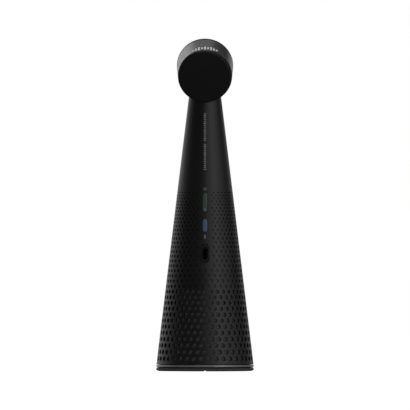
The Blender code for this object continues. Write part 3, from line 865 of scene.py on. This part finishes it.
def buildPort():
    port = controls["port"]
    frameHere = panelFrame(port["height"])
    face, back = inlet["face"], inlet["back"]
    wide, tall = inlet["mouth"]
    layers = filletLayers(face, port["width"], port["length"], inlet["edge"])
    layers += [(back, port["width"], port["length"]), (back, wide, tall), (0.8, wide, tall),
               (face + 0.07, wide + 0.24, tall + 0.24), (face, wide + 0.4, tall + 0.4)]
    bezel = makeObject("portBezel", pillShape(layers, closed=True), frameHere)
    settle(bezel, portFinish, "body", ["port_bezel"])

    wide, tall = inlet["shell"]
    front, soft, wall = inlet["shellFront"], 0.1, 2 * inlet["shellWall"]
    layers = [(inlet["shellBack"], wide, tall), (front + soft, wide, tall),
              (front, wide - soft, tall - soft), (front, wide - wall + soft, tall - wall + soft),
              (front + soft, wide - wall, tall - wall), (inlet["shellFloor"], wide - wall, tall - wall)]
    connector = makeObject("usbConnector", pillShape(layers), frameHere)
    settle(connector, connectorPaintedShadeFinish, "body", ["usb_c_receptacle"])
    tongue = bmesh.new()
    bmesh.ops.create_cube(tongue, size=1.0)
    bmesh.ops.scale(tongue, vec=inlet["tongue"], verts=tongue.verts)
    bmesh.ops.translate(tongue, vec=(0.0, inlet["tongueDepth"], 0.0), verts=tongue.verts)
    bmesh.ops.bevel(tongue, geom=tongue.edges, offset=inlet["tongueEdge"], affect="EDGES", segments=2,
                    profile=0.5, material=-1)
    settle(makeObject("usbTongue", tongue, frameHere), tonguePaintedShadeFinish, "body")


headParts = dict(
    bandSoft=0.15,          # broken edges of the band
    neckRadius=9.7,         # hole in the band for the neck
    ribDepth=5.2,           # rib of the rear cap, inside the band
    ribWall=1.4,
    capWall=1.8,
    bezelInner=22.9,
    bezelTail=23.7,
    bezelEdge=0.8,
    ringInner=20.6,
    ringOuter=22.6,
    ringFace=35.7,
    windowRadius=20.3,
    windowFace=35.4,
    seat=33.9,              # back of the ring and the window
)


def buildBand():
    start, end = head["bandStart"], head["bandEnd"]
    wall = head["bandWall"]
    soft = headParts["bandSoft"]
    outline = [(headRadius(start) - soft, start), (headRadius(start), start + soft),
               (headRadius(end), end - soft), (headRadius(end) - soft, end),
               (headRadius(end) - wall, end), (headRadius(start) - wall, start)]
    band = makeObject("headBand", spinOutline(outline, 192), headFrame)
    carve(band, [rodTool(headParts["neckRadius"], 232.0, 256.0, segments=64)])
    settle(band, bandFinish, "body", ["head_band"])


def buildRearCap():
    edge = head["edge"]
    rib = headRadius(0) - head["bandWall"] - clearance
    inner = rib - headParts["ribWall"]
    depth, wall = headParts["ribDepth"], headParts["capWall"]
    outline = ([(0, 0)] + arc(headRadius(edge) - edge, edge, edge, -90.0, 0.0, 12)
               + [(rib, edge), (rib, depth), (inner, depth), (inner, wall), (0, wall)])
    turnedPiece("rearCap", outline, capFinish, "body", ["rear_cap"], headFrame, 192)


def buildHeadFront():
    length = head["length"]
    start = head["bandEnd"] + clearance
    reach = headRadius(head["bandEnd"])
    edge = headParts["bezelEdge"]
    inner, tail = headParts["bezelInner"], headParts["bezelTail"]
    outline = ([(22.0, 31.0), (tail, 31.0), (tail, start), (reach - 0.1, start), (reach, start + 0.1)]
               + arc(headRadius(length) - edge, length - edge, edge, 0.0, 90.0, 8)
               + [(inner + 0.2, length), (inner, length - 0.2), (inner, 33.6), (22.0, 33.6)])
    turnedPiece("frontBezel", outline, bezelFinish, "body", ["front_bezel"], headFrame, 192)

    seat = headParts["seat"]
    inner, outer, face = headParts["ringInner"], headParts["ringOuter"], headParts["ringFace"]
    outline = [(inner, seat), (outer, seat), (outer, face - 0.2), (outer - 0.2, face), (inner + 0.2, face),
               (inner, face - 0.2)]
    turnedPiece("lightRing", outline, ringFinish, "body", ["light_ring"], headFrame, 192)

    radius, face = headParts["windowRadius"], headParts["windowFace"]
    outline = [(0, face)] + arc(radius - 0.4, face - 0.4, 0.4, 90.0, 0.0, 6) + [(radius, seat), (0, seat)]
    turnedPiece("touchLens", outline, windowFinish, "body", ["touch_lens"], headFrame, 192)


def addBar(shape, centre, size, matrix):
    # a thin printed bar, X across, Y thickness, Z along
    made = bmesh.ops.create_cube(shape, size=1.0)["verts"]
    bmesh.ops.scale(shape, vec=size, verts=made)
    bmesh.ops.translate(shape, vec=centre, verts=made)
    bmesh.ops.transform(shape, matrix=matrix, verts=made)


def addStroke(shape, radius, width, thickness, start, end, matrix):
    # a printed arc about Y; angles run from +X towards +Z
    sweep = math.radians(end - start)
    first = Matrix.Rotation(-math.radians(start), 4, "Y") @ Matrix.Translation((radius, 0, 0))
    made = bmesh.ops.create_grid(shape, x_segments=1, y_segments=1, size=0.5,
                                 matrix=first @ Matrix.Diagonal((width, thickness, 1.0, 1.0)))["verts"]
    faces = list(dict.fromkeys(face for vertex in made for face in vertex.link_faces))
    edges = list(dict.fromkeys(edge for vertex in made for edge in vertex.link_edges))
    before = set(shape.verts) - set(made)
    bmesh.ops.spin(shape, geom=made + edges + faces, cent=(0, 0, 0), axis=(0, -1, 0), angle=sweep,
                   steps=max(6, int(abs(end - start) / 8)))
    every = [vertex for vertex in shape.verts if vertex not in before]
    loose = dict.fromkeys(edge for vertex in every for edge in vertex.link_edges if edge.is_boundary)
    bmesh.ops.holes_fill(shape, edges=list(loose))
    bmesh.ops.transform(shape, matrix=matrix, verts=every)


def markPiece(name, shape, finish):
    bmesh.ops.recalc_face_normals(shape, faces=shape.faces)
    settle(makeObject(name, shape), finish, "body", sharp=0)


bodyMarks = dict(
    sink=0.02,              # how far the middle of the print lies under the surface
    ink=0.12,               # its thickness
    line=0.34,
    power=dict(height=163.9, radius=1.15),
    wireless=dict(height=119.8, dot=0.27, waves=(1.3, 2.3)),
    legend=dict(first=181.4, last=231.2, count=30, gap=205.3, gapSize=1.4, thick=0.8, wide=2.3, narrow=1.8),
)

headMarks = dict(
    bars=(3.6, 5.6, 8.0, 4.8, 8.4, 4.8, 8.0, 5.6, 3.6),
    barWidth=1.5,
    step=6.4,               # degrees between the bars
    distance=8.2,           # from the rear of the head
    faceInk=0.06,
    faceOffset=13.0,
    faceLength=3.2,
    faceLine=0.5,
    faceCircle=4.2,
)


def buildBodyMarks():
    ink, line = bodyMarks["ink"], bodyMarks["line"]
    sink = Matrix.Translation((0.0, bodyMarks["sink"], 0.0))

    power = bmesh.new()
    sizes = bodyMarks["power"]
    spot = panelFrame(sizes["height"]) @ sink
    addStroke(power, sizes["radius"], line, ink, 125.0, 415.0, spot)
    addBar(power, (0.0, 0.0, sizes["radius"] * 0.85), (line, ink, sizes["radius"] * 1.1), spot)
    markPiece("powerMark", power, legendFinish)

    waves = bmesh.new()
    sizes = bodyMarks["wireless"]
    spot = panelFrame(sizes["height"]) @ sink
    addStroke(waves, sizes["dot"], sizes["dot"] * 2 - 0.02, ink, 0.0, 360.0, spot)
    for radius in sizes["waves"]:
        addStroke(waves, radius, line, ink, 62.0, 118.0, spot)
    markPiece("wirelessMark", waves, iconFinish)

    legend = bmesh.new()
    sizes = bodyMarks["legend"]
    step = (sizes["last"] - sizes["first"]) / (sizes["count"] - 1)
    for number in range(sizes["count"]):
        height = sizes["first"] + step * number
        if abs(height - sizes["gap"]) > sizes["gapSize"]:
            across = sizes["wide"] if number % 4 == 0 else sizes["narrow"]
            addBar(legend, (0.0, 0.0, 0.0), (across, ink, sizes["thick"]), panelFrame(height) @ sink)
    markPiece("legendTicks", legend, legendFinish)


def buildHeadMarks():
    # a row of short bars like a sound level, round the rear edge of the band
    shape = bmesh.new()
    distance = headMarks["distance"]
    lean = Matrix.Rotation(math.atan((head["frontRadius"] - head["rearRadius"]) / head["length"]), 4, "X")
    rise = Matrix.Translation((0.0, -headRadius(distance), distance)) @ lean
    middle = (len(headMarks["bars"]) - 1) / 2
    for number, barLength in enumerate(headMarks["bars"]):
        turn = Matrix.Rotation(math.radians((number - middle) * headMarks["step"]), 4, "Z")
        size = (headMarks["barWidth"], bodyMarks["ink"], barLength)
        addBar(shape, (0.0, 0.0, 0.0), size, headFrame @ turn @ rise)
    markPiece("bandMark", shape, bandMarkFinish)

    # generic symbols on the touch face
    shape = bmesh.new()
    ink, line, across = headMarks["faceInk"], headMarks["faceLine"], headMarks["faceLength"]
    face = headFrame @ Matrix.Translation((0.0, 0.0, headParts["windowFace"]))
    face = face @ Matrix.Rotation(math.radians(-90.0), 4, "X")
    left, right = (-headMarks["faceOffset"], 0.0, 0.0), (headMarks["faceOffset"], 0.0, 0.0)
    addBar(shape, left, (across, ink, line), face)
    addBar(shape, right, (across, ink, line), face)
    for side in (-1, 1):
        reach = (across + line) / 4
        spot = (right[0], 0.0, side * reach)
        addBar(shape, spot, (line, ink, (across - line) / 2), face)
    addStroke(shape, headMarks["faceCircle"], line * 0.8, ink, 0.0, 360.0, face)
    markPiece("touchMarks", shape, iconFinish)


# distance and height in metres
view = dict(
    distance=15.385,
    height=0.14934,
    lens=1502.0,
)

# soft panels round the object; azimuth is right of the camera, spread is the angle each one fills
lights = (
    dict(name="backLeft", azimuth=-150, spread=72, height=0.15, tall=0.8, radiance=0.54),
    dict(name="left", azimuth=-100, spread=22, height=0.15, tall=0.8, radiance=0.3),
    dict(name="frontLeft", azimuth=-50, spread=78, height=0.15, tall=0.8, radiance=0.075),
    dict(name="front", azimuth=0, spread=22, height=0.15, tall=0.8, radiance=0.15),
    dict(name="frontRight", azimuth=20, spread=20, height=0.15, tall=0.8, radiance=0.34),
    dict(name="key", azimuth=40, spread=20, height=0.15, tall=0.8, radiance=1.05),
    dict(name="keyEdge", azimuth=70, spread=40, height=0.15, tall=0.8, radiance=0.42),
    dict(name="right", azimuth=110, spread=40, height=0.15, tall=0.8, radiance=0.1),
    dict(name="backRight", azimuth=155, spread=48, height=0.15, tall=0.8, radiance=0.29),
    dict(name="highLeft", azimuth=-140, spread=37, height=0.95, tall=0.7, radiance=0.8),
    dict(name="highBack", azimuth=-172, spread=37, height=0.95, tall=0.7, radiance=0.16),
    dict(name="highKey", azimuth=40, spread=72, height=0.95, tall=0.7, radiance=0.75),
)
panelDistance = 1.4
topPanel = dict(height=1.7, size=1.2, radiance=2.0)
roomGlow = 0.028


def buildCamera():
    lensData = bpy.data.cameras.new("camera")
    lensData.lens = view["lens"]
    lensData.clip_start = 0.5
    lensData.clip_end = 1000.0
    camera = bpy.data.objects.new("camera", lensData)
    camera.location = (0.0, -view["distance"], view["height"])
    camera.rotation_euler = (math.radians(90.0), 0.0, 0.0)
    bpy.context.scene.collection.objects.link(camera)
    bpy.context.scene.camera = camera


def addPanel(name, place, aim, width, tall, radiance):
    lamp = bpy.data.lights.new(name, "AREA")
    lamp.shape = "RECTANGLE"
    lamp.size = width
    lamp.size_y = tall
    lamp.energy = 4.0 * width * tall * radiance
    holder = bpy.data.objects.new(name, lamp)
    holder.location = place
    holder.rotation_euler = (aim - place).to_track_quat("-Z", "Y").to_euler()
    holder.visible_camera = False
    bpy.context.scene.collection.objects.link(holder)


def buildLights():
    middle = Vector((0.0, 0.0, 0.15))
    for setup in lights:
        turn = math.radians(setup["azimuth"])
        place = Vector((math.sin(turn) * panelDistance, -math.cos(turn) * panelDistance, setup["height"]))
        width = 2.0 * panelDistance * math.tan(math.radians(setup["spread"] / 2))
        addPanel(setup["name"], place, middle, width, setup["tall"], setup["radiance"])
    high = Vector((0.0, 0.0, topPanel["height"]))
    addPanel("top", high, Vector((0.0, 0.0, 0.0)), topPanel["size"], topPanel["size"], topPanel["radiance"])


def buildWorld():
    world = bpy.data.worlds.new("studio")
    world.use_nodes = True
    tree = world.node_tree
    tree.nodes.clear()
    seen = tree.nodes.new("ShaderNodeBackground")
    seen.inputs["Color"].default_value = (1.0, 1.0, 1.0, 1.0)
    room = tree.nodes.new("ShaderNodeBackground")
    room.inputs["Color"].default_value = (roomGlow, roomGlow, roomGlow, 1.0)
    path = tree.nodes.new("ShaderNodeLightPath")
    mix = tree.nodes.new("ShaderNodeMixShader")
    out = tree.nodes.new("ShaderNodeOutputWorld")
    tree.links.new(path.outputs["Is Camera Ray"], mix.inputs[0])
    tree.links.new(room.outputs[0], mix.inputs[1])
    tree.links.new(seen.outputs[0], mix.inputs[2])
    tree.links.new(mix.outputs[0], out.inputs["Surface"])
    bpy.context.scene.world = world


floorLook = dict(size=300.0, shade=0.3, glow=1.0)      # half its width in metres, and how white it is


def buildFloor():
    shape = bmesh.new()
    bmesh.ops.create_grid(shape, x_segments=1, y_segments=1, size=floorLook["size"] / mm)
    floor = makeObject("floor", shape)
    finish = Finish("pale floor", Roughness=0.8, Base_Color=grey(floorLook["shade"]), Specular_IOR_Level=0.0,
                    Emission_Color=grey(1.0), Emission_Strength=floorLook["glow"])
    floor.data.materials.append(finish.material)
    floor.visible_glossy = False


print("camera and light")
bpy.context.scene.view_settings.view_transform = "Standard"
buildCamera()
buildLights()
buildWorld()
buildFloor()
print("body shell")
buildShell()
print("cloth")
buildCloth()
print("base")
buildFoot()
buildBottomCover()
buildTrimRing()
buildBaseScrews()
print("controls")
buildButton("powerKey", "power_button", controls["power"], powerFinish)
buildButton("pairingKey", "pairing_button", controls["pairing"], pairingFinish)
buildPort()
print("head")
buildBand()
buildRearCap()
buildHeadFront()
print("marks")
buildBodyMarks()
buildHeadMarks()
print("inner pieces")
dressInnerNodes()
